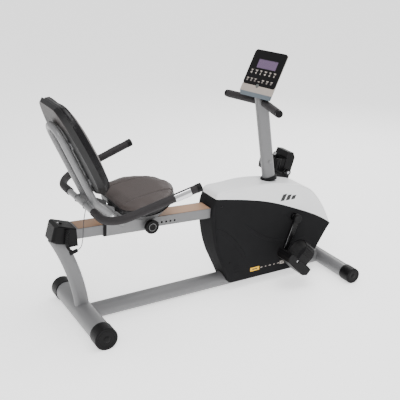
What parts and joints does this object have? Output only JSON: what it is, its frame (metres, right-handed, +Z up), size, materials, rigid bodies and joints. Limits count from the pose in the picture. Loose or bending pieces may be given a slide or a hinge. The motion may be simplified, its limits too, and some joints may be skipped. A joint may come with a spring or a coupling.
{
  "type": "recumbent exercise bike",
  "caption": "Recumbent magnetic exercise bike: seat and back on a sliding carriage, cranks with strapped pedals, console on a mast, hand grips beside the seat and below the console.",
  "frame": {"origin": "centre of the bounding box's underside, on the floor", "axes": "+X forward, the way the rider faces; +Y to the rider's left; +Z up"},
  "size_m": [1.3666, 0.6854, 1.041],
  "materials": {
    "frame_paint": "satin",
    "sleeve_paint": "satin",
    "black_plastic": "moulded",
    "gloss_black": "gloss",
    "charcoal_shell": "fine texture",
    "white_cover": "satin",
    "foam": "foam",
    "chrome": "polished",
    "steel": "turned",
    "cast_iron": "machined",
    "magnet": "plated",
    "pad_leather": "smooth",
    "seat_leather": "smooth",
    "back_shell": "moulded",
    "console_body": "satin",
    "screen": "gloss",
    "key_rubber": "moulded",
    "start_rubber": "moulded",
    "belt": "ribbed",
    "wear_strip": "satin",
    "lead_grey": "smooth",
    "lead_black": "smooth"
  },
  "bodies": {
    "frame": {"main_tube": "frame_paint", "rear_stabiliser": "frame_paint", "front_stabiliser": "frame_paint", "stabiliser_caps": "black_plastic", "seat_rail": "frame_paint", "track_strip": "wear_strip", "rear_post": "frame_paint", "rear_end_cap": "black_plastic", "frame_plates": "frame_paint", "mast": "frame_paint", "mast_collar": "black_plastic", "right_shell": "charcoal_shell", "left_shell": "charcoal_shell", "top_cover": "white_cover", "bottom_bracket": "frame_paint", "bearings": "steel", "drive_belt": "belt", "console_bar": "frame_paint", "console_foam": "foam", "console_bar_caps": "gloss_black", "console_housing": "console_body", "console_panel": "gloss_black", "console_screen": "screen", "lead_plug": "black_plastic", "coil_lead": "lead_black"},
    "crank": {"crank_axle": "steel", "drive_pulley": "black_plastic", "right_crank": "gloss_black", "left_crank": "gloss_black", "crank_caps": "black_plastic", "pedal_spindles": "steel"},
    "wheel": {"flywheel": "cast_iron", "flywheel_axle": "steel"},
    "brake": {"magnet_arm": "steel", "brake_magnets": "magnet"},
    "pedal_right": {"right_pedal": "black_plastic", "right_strap": "black_plastic"},
    "pedal_left": {"left_pedal": "black_plastic", "left_strap": "black_plastic"},
    "carriage": {"slider_sleeve": "sleeve_paint", "slider_bushings": "black_plastic", "back_frame": "frame_paint", "frame_brackets": "frame_paint", "seat_cushion": "seat_leather", "seat_pan": "black_plastic", "back_shell": "back_shell", "back_pad": "pad_leather", "seat_bar": "sleeve_paint", "seat_foam": "foam", "seat_bar_caps": "black_plastic", "pulse_plates": "chrome", "pulse_lead": "lead_grey"},
    "pull_knob": {"adjust_knob": "black_plastic"},
    "start_button": {"start_key": "start_rubber"},
    "button_1": {"key_1": "key_rubber"},
    "button_2": {"key_2": "key_rubber"},
    "button_3": {"key_3": "key_rubber"},
    "button_4": {"key_4": "key_rubber"},
    "button_5": {"key_5": "key_rubber"},
    "button_6": {"key_6": "key_rubber"}
  },
  "joints": [
    {"name": "seat_slide", "type": "slide", "parent": "frame", "child": "carriage", "axis": [0.9987, 0, -0.0509], "range_m": [-0.08, 0.12], "deforming": ["pulse_lead"]},
    {"name": "knob_pull", "type": "slide", "parent": "carriage", "child": "pull_knob", "axis": [0, -1, 0], "range_m": [0, 0.01], "stiffness_N_per_m": 900, "springref_m": -0.006},
    {"name": "wheel_spin", "type": "hinge", "parent": "frame", "child": "wheel", "pos_m": [0.1877, 0, 0.22], "axis": [0, 1, 0], "continuous": true},
    {"name": "crank_turn", "type": "hinge", "parent": "frame", "child": "crank", "pos_m": [0.4492, 0, 0.2947], "axis": [0, 1, 0], "continuous": true},
    {"name": "right_pedal_turn", "type": "hinge", "parent": "crank", "child": "pedal_right", "pos_m": [0.38301, -0.158, 0.14083], "axis": [0, 1, 0], "continuous": true},
    {"name": "left_pedal_turn", "type": "hinge", "parent": "crank", "child": "pedal_left", "pos_m": [0.51539, 0.158, 0.44857], "axis": [0, 1, 0], "continuous": true},
    {"name": "brake_swing", "type": "hinge", "parent": "frame", "child": "brake", "pos_m": [0.1547, 0, 0.358], "axis": [0, 1, 0], "range_deg": [0, 5]},
    {"name": "key_1_press", "type": "slide", "parent": "frame", "child": "button_1", "axis": [0.8371, 0.1886, -0.5135], "range_m": [0, 0.0015], "stiffness_N_per_m": 600, "springref_m": -0.0005},
    {"name": "key_2_press", "type": "slide", "parent": "frame", "child": "button_2", "axis": [0.8371, 0.1886, -0.5135], "range_m": [0, 0.0015], "stiffness_N_per_m": 600, "springref_m": -0.0005},
    {"name": "key_3_press", "type": "slide", "parent": "frame", "child": "button_3", "axis": [0.8371, 0.1886, -0.5135], "range_m": [0, 0.0015], "stiffness_N_per_m": 600, "springref_m": -0.0005},
    {"name": "key_4_press", "type": "slide", "parent": "frame", "child": "button_4", "axis": [0.8371, 0.1886, -0.5135], "range_m": [0, 0.0015], "stiffness_N_per_m": 600, "springref_m": -0.0005},
    {"name": "key_5_press", "type": "slide", "parent": "frame", "child": "button_5", "axis": [0.8371, 0.1886, -0.5135], "range_m": [0, 0.0015], "stiffness_N_per_m": 600, "springref_m": -0.0005},
    {"name": "key_6_press", "type": "slide", "parent": "frame", "child": "button_6", "axis": [0.8371, 0.1886, -0.5135], "range_m": [0, 0.0015], "stiffness_N_per_m": 600, "springref_m": -0.0005},
    {"name": "start_press", "type": "slide", "parent": "frame", "child": "start_button", "axis": [0.8371, 0.1886, -0.5135], "range_m": [0, 0.0015], "stiffness_N_per_m": 600, "springref_m": -0.0005}
  ],
  "couplings": [
    {"joint": "crank_turn", "follows": "wheel_spin", "ratio": 0.2037}
  ]
}
